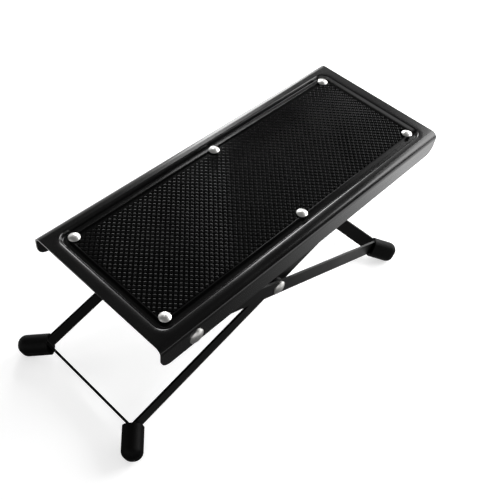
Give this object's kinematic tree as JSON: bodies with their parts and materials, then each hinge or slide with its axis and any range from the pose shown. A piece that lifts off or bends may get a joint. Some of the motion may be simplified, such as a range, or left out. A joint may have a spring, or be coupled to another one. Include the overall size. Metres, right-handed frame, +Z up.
{
  "type": "folding footrest",
  "caption": "Folding footrest with a tilted steel tray, a rubber mat, crossing leg frames with rubber boots and toothed racks that set its height.",
  "frame": {"origin": "centre of the bounding box at floor level, under the tray", "axes": "+Z up, X along the tray with the higher end at +X, the two sides are alike across Y"},
  "size_m": [0.2698, 0.117, 0.1187],
  "materials": {
    "black_steel": "satin black powder coat",
    "mat_rubber": "matte, fine raised bumps",
    "boot_rubber": "matte",
    "bright_steel": "bright nickel plate",
    "plated_steel": "zinc plate",
    "washer_nylon": "matte black nylon"
  },
  "bodies": {
    "tray": {"top_plate": "black_steel", "rubber_mat": "mat_rubber", "mat_rivets": "bright_steel", "near_height_rack": "black_steel", "far_height_rack": "black_steel", "near_flange_rivet": "bright_steel", "far_flange_rivet": "bright_steel", "near_flange_washer": "washer_nylon", "far_flange_washer": "washer_nylon"},
    "long_legs": {"long_leg_frame": "black_steel", "near_crossing_rivet": "bright_steel", "far_crossing_rivet": "bright_steel", "near_crossing_washer": "washer_nylon", "far_crossing_washer": "washer_nylon", "near_right_boot": "boot_rubber", "far_right_boot": "boot_rubber"},
    "short_legs": {"short_leg_frame": "black_steel", "adjuster_rod": "plated_steel", "near_left_boot": "boot_rubber", "far_left_boot": "boot_rubber"}
  },
  "joints": [
    {"name": "leg_fold", "type": "hinge", "parent": "tray", "child": "long_legs", "pos_m": [-0.09097, 0, 0.08634], "axis": [0, -1, 0], "range_deg": [-20.7, 21]},
    {"name": "short_legs_turn", "type": "hinge", "parent": "long_legs", "child": "short_legs", "pos_m": [-0.00682, 0, 0.05644], "axis": [0, -1, 0], "range_deg": [-34.6, 34.1]}
  ],
  "couplings": [
    {"joint": "short_legs_turn", "follows": "leg_fold", "ratio": -1.64}
  ]
}
